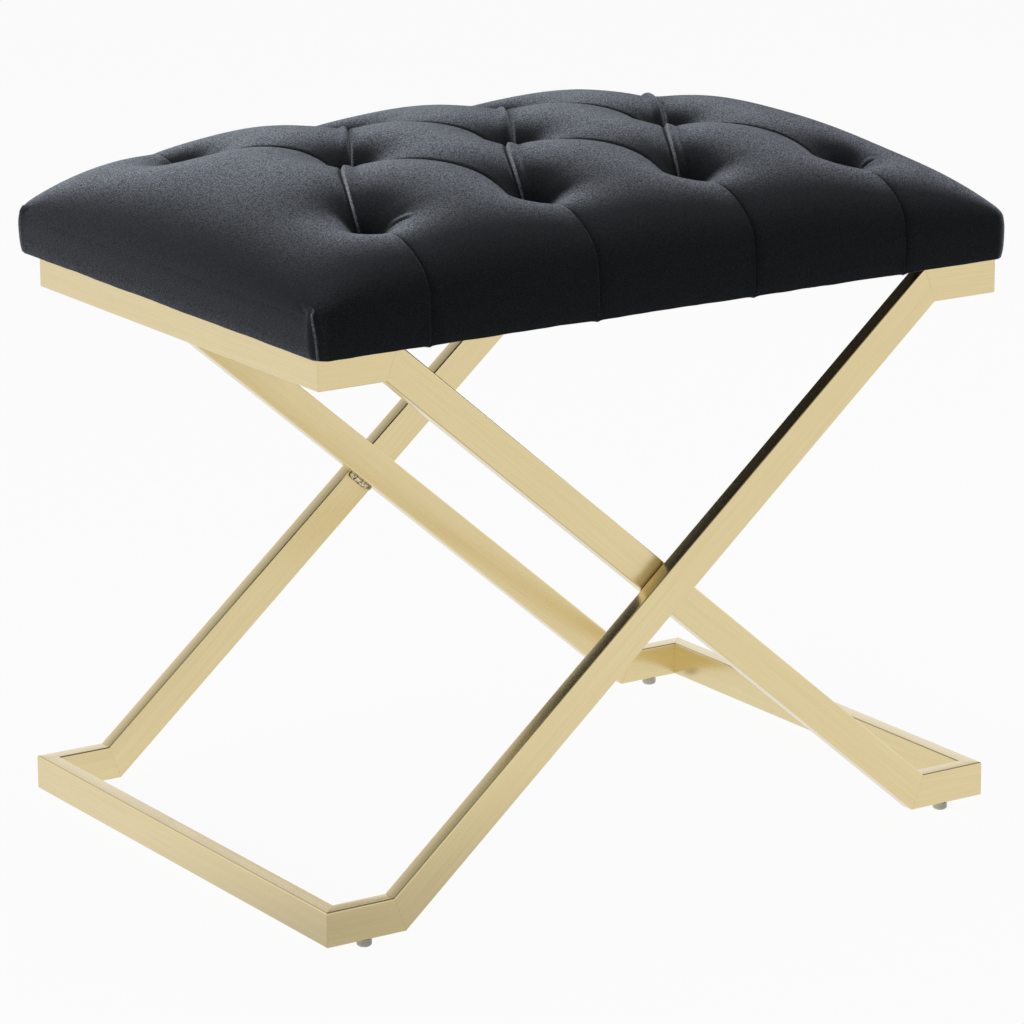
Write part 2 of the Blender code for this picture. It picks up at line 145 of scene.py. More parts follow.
# Folds: flaps along the view, thin creases across it, and pleats over the front and back edges
FLAP_HEIGHT = 0.0030
FLAP_WIDTH = 0.0062
FLAP_FOOT = 0.0012
FLAP_GROOVE = 0.0012
FLAP_SHADE = 0.0032
FLAP_SHADE_DEPTH = 0.0008
WELT_HEIGHT = 0.0026
WELT_HALF = 0.0034
WELT_EDGE = 0.0014
WELT_REACH = 0.0040
PROUD_WELT = 1.35
CREASE_DEPTH = 0.0009
CREASE_WIDTH = 0.0014
PLEAT_LIP = 0.0005
PLEAT_DEPTH = 0.0012
PLEAT_REACH = 0.0035
PLEAT_SQUEEZE = 0.85
PLEAT_SQUEEZE_REACH = 0.0026
PLEAT_START = 0.012
FOLD_TAPER = 0.7

# Painted glints and painted shadows along the folds: their strengths, less than 0 where they lie on a
# fold's left
GLINT_REACH = 0.0040
GROOVE_WIDTH = 0.0008
GLINT_FADE = 0.004
FLAP_GLINT, WELT_GLINT, CROSSING_GLINT = 0.9, 0.9, -0.4
PLEAT_GLINT, DART_GLINT, SHORT_GLINT = -0.05, 0.35, 0.6
SHADOW_STOPS = ((0.16, 1.0), (0.28, 0.15), (0.48, 0.15), (0.52, 1.0))
GLINT_STOPS = ((0.50, 0.0), (0.55, 1.0), (0.63, 1.0), (0.80, 0.0))

# Short creases beside two front tufts: the tuft, the run's ends off it, and a share of a welt's height
SHORT_RUNS = ((0, (0.0103, -0.0105), (0.0212, -0.025)), (3, (0.0138, -0.0147), (0.0282, -0.0144)))
SHORT_WELT = 0.5

# Colours of the pile and of its painted glints, and a painted sheen: how much of the pile's colour shows
# by how far aslant it is seen
PILE_DARK, PILE_LIGHT = (0.016, 0.018, 0.021), (0.54, 0.59, 0.68)
GLINT_DARK, GLINT_LIGHT = (0.12, 0.125, 0.135), (0.66, 0.70, 0.76)
PAINTED_SHEEN_FROM, PAINTED_SHEEN_TO, PAINTED_SHEEN_LEAST = 0.40, 0.84, 0.040

# Painted shade: the pile's colour is darker on the end faces as they turn upright
END_SHADE = 0.70
END_SHADE_FROM, END_SHADE_TO = 0.42, 0.88

# Mesh fineness of the seat: cells per half tuft step, and cells from the outer tufts to the rim
FINE_CELLS, FINE_EDGE_X, FINE_EDGE_Y, FINE_SIDE = 44, 80, 72, 14
PLAIN_CELLS, PLAIN_EDGE_X, PLAIN_EDGE_Y, PLAIN_SIDE = 18, 26, 26, 6

# Swelling by cloth simulation between the held folds
SWELL_CELLS, SWELL_EDGE_X, SWELL_EDGE_Y = 14, 22, 20
SWELL_FRAMES = 20
SWELL_QUALITY = 6
SWELL_MASS = 0.3
SWELL_PRESSURE = 4.0
SWELL_CAP = 0.0045
HELD_WIDTH = 0.0025

# Corner darts on the end faces, set further in at the right end, and the uneven lower edge
DART_TOP = 0.453
DART_RUN = 0.014
RIGHT_DART_SET = 0.010
DART_BEND = 2.4
DART_LIP = 0.0015
DART_REACH = 0.0045
DART_FADE = 0.012
DART_FACE = 0.003
EDGE_WAVE = 0.0004
EDGE_WAVES = ((28, 3.7, 1.0), (90, 1.3, 0.5))
EDGE_WAVE_POWER = 3
EDGE_NUB = 0.0011
EDGE_NUB_REACH = 0.003

# Hidden build-up
FOAM_Z = 0.4236
FOAM_INSET = 0.0066
DUST_COVER_Z = 0.4073
DUST_COVER_THICK = 0.0008
DUST_COVER_INSET = 0.0158
DUST_COVER_SAG = 0.0015
TIE_HOLE_RADIUS = 0.0030
SCREW_X = 0.2429
SCREW_Y = 0.110
SCREW_HOLE_RADIUS = 0.0025
DRILL_OVERRUN = 0.01

# Studio
FLOOR_HALF = 12
FLOOR_PAINT = (0.93, 0.93, 0.93, 1)
FLOOR_GLOW = 0.95
FLOOR_MIRROR_SHARE = 0.92
FLOOR_MIRROR_LEVEL = 0.95
# A painted shade on the floor near the bench, seen only in reflections
FLOOR_SHADE_PLACE = (-0.30, -0.32, 0)
FLOOR_SHADE_REACH = 0.45
FLOOR_SHADE_LEVEL = 0.58
WORLD_FILL = 0.05
CEILING_FROM, CEILING_TO, CEILING_DARK = 0.33, 0.68, 0.29
LAMP_AIM = (0, 0, 0.3)
LAMPS = (
    ("left", (-2.8, 0.0, 0.8), 1.2, 38),
    ("right", (2.6, 0.0, 1.8), 1.4, 16),
    ("top", (0.2, 0.4, 3.0), 2.0, 19),
)

# Gold, weld, and plain finishes: two colours, fineness, range of roughness, depth of relief, metallic
GOLD_DARK, GOLD_LIGHT = (0.765, 0.628, 0.334), (0.818, 0.682, 0.378)
WELD_PIT, WELD_DULL, WELD_BRIGHT = (0.10, 0.06, 0.03), (0.50, 0.38, 0.21), (0.92, 0.84, 0.64)
PLAIN_FINISHES = {
    "pale_plastic": ((0.92, 0.89, 0.82), (0.96, 0.94, 0.89), 900.0, (0.28, 0.42), 0.0001, 0.0),
    "yellow_foam": ((0.62, 0.55, 0.33), (0.70, 0.63, 0.40), 700.0, (0.8, 0.95), 0.0008, 0.0),
    "black_lining": ((0.010, 0.010, 0.011), (0.018, 0.018, 0.019), 1100.0, (0.7, 0.9), 0.0003, 0.0),
    "birch_ply": ((0.42, 0.29, 0.16), (0.55, 0.40, 0.24), 240.0, (0.55, 0.8), 0.0003, 0.0),
    "waxed_twine": ((0.50, 0.42, 0.30), (0.62, 0.54, 0.40), 1500.0, (0.7, 0.9), 0.0004, 0.0),
    "plated_steel": ((0.48, 0.48, 0.47), (0.62, 0.62, 0.60), 600.0, (0.32, 0.5), 0.0002, 1.0),
}

CORNERS = [f"{end}_{side}" for end in ("front", "rear") for side in ("left", "right")]

Y, Z = Vector((0, 1, 0)), Vector((0, 0, 1))


# Material tools

def add_node(tree, kind, **values):
    """A node with its properties and unlinked inputs set by name."""
    node = tree.nodes.new(kind)
    for name, value in values.items():
        if name in node.inputs:
            node.inputs[name].default_value = value
        else:
            setattr(node, name, value)
    return node


def ramp(tree, factor, *stops):
    """A colour ramp on a value, from (position, colour) stops."""
    node = tree.nodes.new("ShaderNodeValToRGB")
    while len(node.color_ramp.elements) < len(stops):
        node.color_ramp.elements.new(0.5)
    for element, (position, colour) in zip(node.color_ramp.elements, stops):
        element.position = position
        element.color = (*colour, 1)
    tree.links.new(factor, node.inputs["Fac"])
    return node.outputs["Color"]


def feed(tree, socket, value):
    """Links an output to a socket, or sets the socket to a plain value."""
    if isinstance(value, bpy.types.NodeSocket):
        tree.links.new(value, socket)
    else:
        socket.default_value = value


def calc(tree, operation, *values):
    """The result of a math node on outputs or plain values."""
    node = add_node(tree, "ShaderNodeMath", operation=operation)
    for socket, value in zip(node.inputs, values):
        feed(tree, socket, value)
    return node.outputs[0]


def blend(tree, kind, factor, first, second, **values):
    """A mix of two values (FLOAT) or two colours (RGBA)."""
    node = add_node(tree, "ShaderNodeMix", data_type=kind, **values)
    at, out = {"FLOAT": (2, 0), "RGBA": (6, 2)}[kind]
    for socket, value in ((0, factor), (at, first), (at + 1, second)):
        feed(tree, node.inputs[socket], value)
    return node.outputs[out]


def spread(tree, value, low, high, start=0.0, end=1.0, smooth=False):
    """Maps a value from one range, 0 to 1 unless given, onto another."""
    node = add_node(tree, "ShaderNodeMapRange", interpolation_type="SMOOTHSTEP" if smooth else "LINEAR")
    for socket, setting in zip(("From Min", "From Max", "To Min", "To Max"), (start, end, low, high)):
        node.inputs[socket].default_value = setting
    tree.links.new(value, node.inputs["Value"])
    return node.outputs["Result"]


def bump(tree, height, strength, distance):
    node = add_node(tree, "ShaderNodeBump", Strength=strength, Distance=distance)
    tree.links.new(height, node.inputs["Height"])
    return node.outputs["Normal"]


def principled(name):
    material = bpy.data.materials.new(name)
    material.use_nodes = True
    return material, material.node_tree, material.node_tree.nodes["Principled BSDF"]


def group_tree(name, inputs, outputs):
    """A shader node group from (name, socket type) inputs and the names of its float outputs."""
    tree = bpy.data.node_groups.new(name, "ShaderNodeTree")
    for socket, kind in inputs:
        tree.interface.new_socket(socket, in_out="INPUT", socket_type=kind)
    for socket in outputs:
        tree.interface.new_socket(socket, in_out="OUTPUT", socket_type="NodeSocketFloat")
    return tree, tree.nodes.new("NodeGroupInput"), tree.nodes.new("NodeGroupOutput")


def brushed_grain_group():
    """Long fine streaks and soft clouds on metal brushed along the third coordinate."""
    tree, enter, leave = group_tree(
        "brushed_grain", [("Vector", "NodeSocketVector")], ["Streak", "Cloud", "Height"]
    )
    stretch = add_node(tree, "ShaderNodeMapping", Scale=(1, 1, 0.012))
    fine = add_node(tree, "ShaderNodeTexNoise", Scale=1500, Detail=3, Roughness=0.6)
    broad = add_node(tree, "ShaderNodeTexNoise", Scale=320, Detail=2, Roughness=0.5)
    cloud = add_node(tree, "ShaderNodeTexNoise", Scale=22, Detail=2, Roughness=0.5)
    tree.links.new(enter.outputs["Vector"], stretch.inputs["Vector"])
    tree.links.new(stretch.outputs["Vector"], fine.inputs["Vector"])
    tree.links.new(stretch.outputs["Vector"], broad.inputs["Vector"])
    tree.links.new(enter.outputs["Vector"], cloud.inputs["Vector"])
    streak = blend(tree, "FLOAT", 0.25, fine.outputs["Fac"], broad.outputs["Fac"])
    tree.links.new(streak, leave.inputs["Streak"])
    tree.links.new(cloud.outputs["Fac"], leave.inputs["Cloud"])
    tree.links.new(fine.outputs["Fac"], leave.inputs["Height"])
    return tree


def speckle_group():
    """Fine grain and wide mottling at a given fineness."""
    tree, enter, leave = group_tree(
        "speckle", [("Vector", "NodeSocketVector"), ("Fineness", "NodeSocketFloat")], ["Grain", "Mottle"]
    )
    grain = add_node(tree, "ShaderNodeTexNoise", Detail=3, Roughness=0.6)
    mottle = add_node(tree, "ShaderNodeTexNoise", Scale=14, Detail=3, Roughness=0.55)
    tree.links.new(enter.outputs["Vector"], grain.inputs["Vector"])
    tree.links.new(enter.outputs["Fineness"], grain.inputs["Scale"])
    tree.links.new(enter.outputs["Vector"], mottle.inputs["Vector"])
    tree.links.new(grain.outputs["Fac"], leave.inputs["Grain"])
    tree.links.new(mottle.outputs["Fac"], leave.inputs["Mottle"])
    return tree


BRUSHED_GRAIN = brushed_grain_group()
SPECKLE = speckle_group()


def place_group(tree, group, vector, **values):
    node = tree.nodes.new("ShaderNodeGroup")
    node.node_tree = group
    for name, value in values.items():
        node.inputs[name].default_value = value
    tree.links.new(vector, node.inputs["Vector"])
    return node


def gold_finish(tree, shader, grain):
    """Brushed and lacquered gold, with its grain along the third coordinate of a vector."""
    brushed = place_group(tree, BRUSHED_GRAIN, grain)
    colour = ramp(tree, brushed.outputs["Streak"], (0.35, GOLD_DARK), (0.65, GOLD_LIGHT))
    tree.links.new(colour, shader.inputs["Base Color"])
    tree.links.new(spread(tree, brushed.outputs["Cloud"], 0.22, 0.32), shader.inputs["Roughness"])
    tree.links.new(bump(tree, brushed.outputs["Height"], 0.02, 0.0002), shader.inputs["Normal"])
    shader.inputs["Metallic"].default_value = 1.0
    shader.inputs["Coat Weight"].default_value = 0.7
    shader.inputs["Coat Roughness"].default_value = 0.15


def tube_gold():
    """Gold brushed along each tube, by the grain that the tube carries."""
    material, tree, shader = principled("tube_gold")
    grain = add_node(tree, "ShaderNodeAttribute", attribute_name="grain")
    gold_finish(tree, shader, grain.outputs["Vector"])
    return material


def tab_gold():
    """The same gold on the seat tabs, brushed from front to back."""
    material, tree, shader = principled("tab_gold")
    place = add_node(tree, "ShaderNodeTexCoord")
    turn = add_node(tree, "ShaderNodeMapping", Rotation=(math.pi / 2, 0, 0))
    tree.links.new(place.outputs["Object"], turn.inputs["Vector"])
    gold_finish(tree, shader, turn.outputs["Vector"])
    return material


def weld_metal():
    """Dull gold, pitted and scorched in specks."""
    material, tree, shader = principled("weld_metal")
    place = add_node(tree, "ShaderNodeTexCoord")
    grain = place_group(tree, SPECKLE, place.outputs["Object"], Fineness=650.0).outputs["Grain"]
    colour = ramp(tree, grain, (0.40, WELD_PIT), (0.47, WELD_DULL), (0.56, WELD_BRIGHT))
    tree.links.new(colour, shader.inputs["Base Color"])
    tree.links.new(spread(tree, grain, 0.62, 0.34), shader.inputs["Roughness"])
    tree.links.new(bump(tree, grain, 0.5, 0.0006), shader.inputs["Normal"])
    shader.inputs["Metallic"].default_value = 0.8
    return material


def folded_edges(tree, colour, grain):
    """The pile's colour with a painted shadow and a painted glint beside each fold, and a groove along it.

    A fold's mark holds how far off it is, how strong its glint is (less than 0 on its left), and a fade.
    """
    mark = add_node(tree, "ShaderNodeAttribute", attribute_name="crease")
    parts = add_node(tree, "ShaderNodeSeparateXYZ")
    tree.links.new(mark.outputs["Vector"], parts.inputs["Vector"])
    off, glint, fade = (parts.outputs[axis] for axis in "XYZ")
    across = calc(tree, "MULTIPLY", off, calc(tree, "SIGN", glint))
    place = spread(tree, across, 0.0, 1.0, -GLINT_REACH, GLINT_REACH)
    strength = calc(tree, "MULTIPLY", calc(tree, "ABSOLUTE", glint), fade)
    # Painted shadow and painted glint beside the fold
    shadow, shine = (
        ramp(tree, place, *[(at, (level,) * 3) for at, level in stops])
        for stops in (SHADOW_STOPS, GLINT_STOPS)
    )
    darker = blend(tree, "RGBA", strength, colour, shadow, blend_type="MULTIPLY")
    lit = ramp(tree, grain, (0.38, GLINT_DARK), (0.60, GLINT_LIGHT))
    lighter = blend(tree, "RGBA", calc(tree, "MULTIPLY", shine, strength), darker, lit)
    line = spread(tree, calc(tree, "ABSOLUTE", off), 1.0, 0.0, end=GROOVE_WIDTH, smooth=True)
    return lighter, calc(tree, "MULTIPLY", line, fade)


def black_velvet():
    """Short speckled black pile, with a painted sheen that lightens it where it is seen aslant and painted
    shade that darkens the upright ends.
    """
    material, tree, shader = principled("black_velvet")
    place = add_node(tree, "ShaderNodeTexCoord")
    nap = add_node(tree, "ShaderNodeMapping", Scale=(1, 0.5, 1))
    tree.links.new(place.outputs["Object"], nap.inputs["Vector"])
    grain = place_group(tree, SPECKLE, nap.outputs["Vector"], Fineness=1250.0).outputs["Grain"]
    pile = ramp(tree, grain, (0.40, PILE_DARK), (0.62, PILE_LIGHT))
    # Painted sheen: the pile's colour is lighter where the surface is seen aslant, by the Layer Weight's
    # facing
    view = add_node(tree, "ShaderNodeLayerWeight", Blend=0.5)
    painted_sheen = spread(tree, view.outputs["Facing"], PAINTED_SHEEN_LEAST, 1.0, PAINTED_SHEEN_FROM, PAINTED_SHEEN_TO, smooth=True)
    # Painted shade on the upright end faces
    painted_end_shade = add_node(tree, "ShaderNodeAttribute", attribute_name="painted_end_shade")
    seen = calc(tree, "MULTIPLY", painted_sheen, painted_end_shade.outputs["Fac"])
    shade = blend(tree, "RGBA", 1.0, pile, seen, blend_type="MULTIPLY")
    colour, groove = folded_edges(tree, shade, grain)
    relief = calc(tree, "SUBTRACT", grain, groove)
    tree.links.new(colour, shader.inputs["Base Color"])
    tree.links.new(spread(tree, grain, 0.70, 0.95), shader.inputs["Roughness"])
    tree.links.new(bump(tree, relief, 0.5, 0.0004), shader.inputs["Normal"])
    shader.inputs["Specular IOR Level"].default_value = 0.12
    shader.inputs["Sheen Weight"].default_value = 0.35
    shader.inputs["Sheen Roughness"].default_value = 0.48
    shader.inputs["Sheen Tint"].default_value = (0.80, 0.86, 0.95, 1)
    return material


def plain_finish(name):
    """A finish mottled between two colours, with a fine grain in its gloss and relief."""
    low, high, fineness, roughness, relief, metallic = PLAIN_FINISHES[name]
    material, tree, shader = principled(name)
    place = add_node(tree, "ShaderNodeTexCoord")
    speckle = place_group(tree, SPECKLE, place.outputs["Object"], Fineness=fineness)
    grain = speckle.outputs["Grain"]
    colour = ramp(tree, speckle.outputs["Mottle"], (0.3, low), (0.7, high))
    tree.links.new(colour, shader.inputs["Base Color"])
    tree.links.new(spread(tree, grain, *roughness), shader.inputs["Roughness"])
    tree.links.new(bump(tree, grain, 0.4, relief), shader.inputs["Normal"])
    shader.inputs["Metallic"].default_value = metallic
    return material


def glide_plastic():
    material = plain_finish("pale_plastic")
    shader = material.node_tree.nodes["Principled BSDF"]
    shader.inputs["Specular IOR Level"].default_value = 1.0
    shader.inputs["Coat Weight"].default_value = 1.0
    shader.inputs["Coat Roughness"].default_value = 0.10
    return material


# Mesh tools

def add_piece(name, bm, material, nodes, smooth_angle=40):
    """A piece in its place in the part's frame, standing for the named CAD nodes."""
    bmesh.ops.recalc_face_normals(bm, faces=bm.faces[:])
    mesh = bpy.data.meshes.new(name)
    bm.to_mesh(mesh)
    bm.free()
    mesh.materials.append(material)
    mesh.shade_smooth()
    mesh.set_sharp_from_angle(angle=math.radians(smooth_angle))
    piece = bpy.data.objects.new(name, mesh)
    bpy.context.scene.collection.objects.link(piece)
    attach(piece, "root")
    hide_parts(*nodes)
    return piece


def cut_edges(cut):
    return [e for e in cut["geom_cut"] if isinstance(e, bmesh.types.BMEdge)]


def turned(profile, steps):
    """A closed turned shape from (radius, height) points that start and end on the axis."""
    bm = bmesh.new()
    points = [bm.verts.new((radius, 0, height)) for radius, height in profile]
    edges = [bm.edges.new(pair) for pair in zip(points, points[1:])]
    bmesh.ops.spin(
        bm, geom=points + edges, axis=(0, 0, 1), angle=2 * math.pi, steps=steps, use_merge=True
    )
    bmesh.ops.remove_doubles(bm, verts=bm.verts[:], dist=1e-6)
    return bm


# Frame loops

def loop_points(depth, top_side):
    """Corners and bends of a loop's tube axis, round from the front top corner."""
    y = depth / 2 - TUBE_THICK / 2
    side = (
        (top_side * (TOP_LENGTH / 2 - TUBE_THICK / 2), TOP_AXIS_Z),
        (top_side * TOP_BEND, TOP_AXIS_Z),
        (-top_side * BOTTOM_BEND, BOTTOM_AXIS_Z),
        (-top_side * (BOTTOM_LENGTH / 2 - TUBE_THICK / 2), BOTTOM_AXIS_Z),
    )
    front = [Vector((x, -y, z)) for x, z in side]
    return front + [Vector((x, y, z)) for x, z in reversed(side)]


TUBE_NAMES = (
    "top_stub_front",
    "leg_front",
    "bottom_stub_front",
    "bottom_rail",
    "bottom_stub_rear",
    "leg_rear",
    "top_stub_rear",
    "top_rail",
)


def mitred_tube(length, start_normal, end_normal):
    """A hollow tube along local Z with rounded edges, mitred at both ends."""
    bm = bmesh.new()
    bmesh.ops.create_grid(bm, x_segments=1, y_segments=1, size=0.5)
    bmesh.ops.scale(bm, verts=bm.verts[:], vec=(TUBE_THICK, TUBE_HIGH, 1))
    bmesh.ops.bevel(
        bm, geom=bm.verts[:], offset=TUBE_EDGE, segments=TUBE_EDGE_STEPS, profile=0.5, affect="VERTICES",
        material=-1,
    )
    bm.faces.ensure_lookup_table()
    bore = bm.faces[0]
    wall = bmesh.ops.inset_region(
        bm, faces=[bore], thickness=TUBE_WALL, use_boundary=True, use_even_offset=True
    )["faces"]
    bmesh.ops.delete(bm, geom=[bore], context="FACES_ONLY")
    bmesh.ops.translate(bm, verts=bm.verts[:], vec=(0, 0, -length / 2 - TUBE_HIGH))
    drawn = bmesh.ops.extrude_face_region(bm, geom=wall)["geom"]
    drawn = [v for v in drawn if isinstance(v, bmesh.types.BMVert)]
    bmesh.ops.translate(bm, verts=drawn, vec=(0, 0, length + 2 * TUBE_HIGH))
    ends = ((-length / 2 + MITRE_GAP / 2, -start_normal), (length / 2 - MITRE_GAP / 2, end_normal))
    for at, normal in ends:
        everything = bm.verts[:] + bm.edges[:] + bm.faces[:]
        cut = bmesh.ops.bisect_plane(
            bm, geom=everything, dist=1e-7, plane_co=(0, 0, at), plane_no=normal, clear_outer=True
        )
        bmesh.ops.bridge_loops(bm, edges=cut_edges(cut))
    return bm


def build_loop(prefix, depth, top_side, gold, first_seed):
    """The eight mitred tubes of one loop, each brushed along its own length."""
    points = loop_points(depth, top_side)
    count = len(points)
    along = [(points[(k + 1) % count] - points[k]).normalized() for k in range(count)]
    for k, name in enumerate(TUBE_NAMES):
        start, end = points[k], points[(k + 1) % count]
        axis = along[k]
        high = Z if abs(axis.y) > 0.5 else axis.cross(Y).normalized()
        turn = Matrix((high.cross(axis), high, axis)).transposed()
        into = turn.inverted() @ (along[k - 1] + axis).normalized()
        out = turn.inverted() @ (axis + along[(k + 1) % count]).normalized()
        bm = mitred_tube((end - start).length, into, out)
        grain = bm.verts.layers.float_vector.new("grain")
        own = Vector(GRAIN_STEP) * (first_seed + k)
        for vert in bm.verts:
            vert[grain] = vert.co + own
        place = Matrix.Translation((start + end) / 2) @ turn.to_4x4()
        bmesh.ops.transform(bm, matrix=place, verts=bm.verts[:])
        node = f"{prefix}_{name}"
        add_piece(node + "_tube", bm, gold, [node])


def build_weld(name, side, metal):
    """A lumpy bead along the lower edge of an inner leg, on the outer leg's inner face."""
    bm = bmesh.new()
    bmesh.ops.create_uvsphere(bm, u_segments=40, v_segments=24, radius=1.0)
    for vert in bm.verts:
        ripple = noise.noise(vert.co * Vector(WELD_LUMP_FINENESS) + side * Z)
        blunt = math.sqrt(1 + vert.co.x ** 2 + vert.co.x ** 4 + vert.co.x ** 6)
        size = Vector((WELD_LENGTH / 2, WELD_RADIUS * blunt, WELD_RADIUS * blunt))
        vert.co = Vector(vert.co) * size + vert.co * (ripple * WELD_LUMPS)
    for normal in (Y, Z):
        everything = bm.verts[:] + bm.edges[:] + bm.faces[:]
        cut = bmesh.ops.bisect_plane(
            bm, geom=everything, dist=1e-7, plane_co=normal * WELD_GAP, plane_no=normal, clear_inner=True
        )
        bmesh.ops.holes_fill(bm, edges=cut_edges(cut))
    cos, sin = math.cos(LEG_ANGLE), math.sin(LEG_ANGLE)
    drop = TOP_BEND / (TOP_BEND + BOTTOM_BEND) * (TOP_AXIS_Z - BOTTOM_AXIS_Z)
    corner = Vector((0, 0, TOP_AXIS_Z - drop))
    corner += Vector((-cos, 0, -sin)) * (TUBE_HIGH / 2 / math.sin(2 * LEG_ANGLE))
    corner.y = side * (OUTER_DEPTH / 2 - TUBE_THICK - LOOP_GAP)
    turn = Matrix((Vector((cos, 0, -sin)), Vector((0, -side, 0)), Vector((-sin, 0, -cos)))).transposed()
    bmesh.ops.transform(bm, matrix=Matrix.Translation(corner) @ turn.to_4x4(), verts=bm.verts[:])
    add_piece(name + "_bead", bm, metal, [name])


def build_glide(node, plastic):
    """A turned foot with a soft lower edge and a stem."""
    low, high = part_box(node)
    profile = [(0, 0)]
    for step in range(GLIDE_EDGE_STEPS + 1):
        angle = math.pi / 2 * step / GLIDE_EDGE_STEPS
        profile.append((
            GLIDE_RADIUS - GLIDE_EDGE + GLIDE_EDGE * math.sin(angle),
            GLIDE_EDGE * (1 - math.cos(angle)),
        ))
    shoulder, top = GLIDE_HEIGHT - GLIDE_GAP, GLIDE_HEIGHT + GLIDE_STEM
    profile += [(GLIDE_RADIUS, shoulder), (GLIDE_STEM_RADIUS, shoulder)]
    profile += [(GLIDE_STEM_RADIUS, top), (0, top)]
    bm = turned(profile, GLIDE_SIDES)
    middle = (low + high) / 2
    bmesh.ops.translate(bm, verts=bm.verts[:], vec=(middle.x, middle.y, 0))
    add_piece(node + "_foot", bm, plastic, [node])


# Tufted seat

def tuft_places():
    four, three = (-1.5, -0.5, 0.5, 1.5), (-1.0, 0.0, 1.0)
    rows = ((-TUFT_ROW, four), (0.0, three), (TUFT_ROW, four))
    return [(step * TUFT_STEP, y) for y, steps in rows for step in steps]


def diagonal_folds():
    """Folds from each middle tuft to its four neighbours, each run from front to back."""
    folds = []
    for x in (-TUFT_STEP, 0.0, TUFT_STEP):
        for side in (-1, 1):
            folds.append(((x + side * TUFT_STEP / 2, -TUFT_ROW), (x, 0.0)))
            folds.append(((x, 0.0), (x + side * TUFT_STEP / 2, TUFT_ROW)))
    return folds


def pleat_folds():
    """Straight pleats from the outer tufts over the front and back edges."""
    return [((x, y), (x, math.copysign(SEAT_DEPTH, y))) for x, y in tuft_places() if y]


TUFTS = tuft_places()
DIAGONALS = diagonal_folds()
PLEATS = pleat_folds()
FLAPS = [fold for fold in DIAGONALS if fold[1][0] > fold[0][0] and fold[0][1] < 0]
WELTS = [fold for fold in DIAGONALS if fold[1][0] > fold[0][0] and fold[0][1] == 0]
SHORT_CREASES = [tuple((TUFTS[k][0] + x, TUFTS[k][1] + y) for x, y in run) for k, *run in SHORT_RUNS]


def fold_frame(x, y, fold):
    """Distance to the right of a fold's line, distance along it, and its length."""
    (x0, y0), (x1, y1) = fold
    length = math.hypot(x1 - x0, y1 - y0)
    ux, uy = (x1 - x0) / length, (y1 - y0) / length
    return (x - x0) * uy - (y - y0) * ux, (x - x0) * ux + (y - y0) * uy, length


def fold_distance(x, y, fold):
    """Distance to the nearest point of a fold."""
    right, along, length = fold_frame(x, y, fold)
    return np.hypot(right, along - np.clip(along, 0, length))


def settle(x, y):
    """Plan places moved as the tufts and pleats of the photograph stand off the even pattern."""
    anchors = list(zip(TUFTS, TUFT_SHIFTS))
    for (tuft_x, _), shift in zip(TUFTS[:4], FRONT_PLEAT_SHIFTS):
        anchors.append(((tuft_x, -SEAT_DEPTH / 2), (shift, 0.0)))
        anchors.append(((tuft_x, SEAT_DEPTH / 2), (0.0, 0.0)))
    total, move_x, move_y = 1e-6, 0.0, 0.0
    for (at_x, at_y), (shift_x, shift_y) in anchors:
        weight = np.exp(-((x - at_x) ** 2 + (y - at_y) ** 2) / (2 * SHIFT_REACH ** 2))
        total, move_x, move_y = total + weight, move_x + weight * shift_x, move_y + weight * shift_y
    inner_x = 1 - np.abs(2 * x / SEAT_LENGTH) ** SHIFT_HOLD_POWER
    inner_y = 1 - np.abs(2 * y / SEAT_DEPTH) ** SHIFT_HOLD_POWER
    set_x, set_y = x + move_x / total * inner_x, y + move_y / total * inner_x * inner_y
    for fold, bow in zip(FLAPS, FLAP_BOWS):
        right, along, length = fold_frame(x, y, fold)
        (x0, y0), (x1, y1) = fold
        shift = bow * np.sin(math.pi * np.clip(along / length, 0, 1) ** FLAP_BOW_SKEW)
        shift *= np.exp(-(right / FLAP_BOW_REACH) ** 2)
        set_x, set_y = set_x - shift * (y1 - y0) / length, set_y + shift * (x1 - x0) / length
    for fold in PLEATS:
        along = fold_frame(x, y, fold)[1]
        across = x - fold[0][0]
        near = PLEAT_SQUEEZE * np.exp(-(across / PLEAT_SQUEEZE_REACH) ** 2)
        set_x = set_x - across * near * np.clip(along / PLEAT_START, 0, 1)
    return set_x, set_y


def tuft_distance(x, y, tuft):
    """Distance to a tuft, whose pit runs on a little towards the front or back edge."""
    out = (y - tuft[1]) * np.sign(tuft[1])
    beyond = np.where(out > 0, np.maximum(0, out - TUFT_SLOT), y - tuft[1])
    return np.hypot(x - tuft[0], beyond)


def seat_height(x, y):
    """Height of the padded top: a crown, swollen between the folds and drawn down at the tufts."""
    set_x, set_y = settle(x, y)
    across = np.maximum(0, 1 - np.abs(2 * set_x / SEAT_LENGTH) ** CROWN_POWER_X) ** CROWN_ROUND_X
    deep = np.maximum(0, 1 - np.abs(2 * set_y / SEAT_DEPTH) ** CROWN_POWER_Y) ** CROWN_ROUND_Y
    inside = across * deep
    spread_out = sum(np.exp(-fold_distance(x, y, fold) / FOLD_BLEND) for fold in DIAGONALS + PLEATS)
    near = np.maximum(0, -FOLD_BLEND * np.log(spread_out))
    draw = sum(np.exp(-tuft_distance(x, y, tuft) / TUFT_RADIUS) for tuft in TUFTS)
    full = CROWN + BACK_RISE * np.clip(y / TUFT_ROW, 0, 1) + SWELL * (1 - np.exp(-near / FOLD_WIDTH))
    return RIM_HEIGHT + inside * full - TUFT_DEPTH * draw


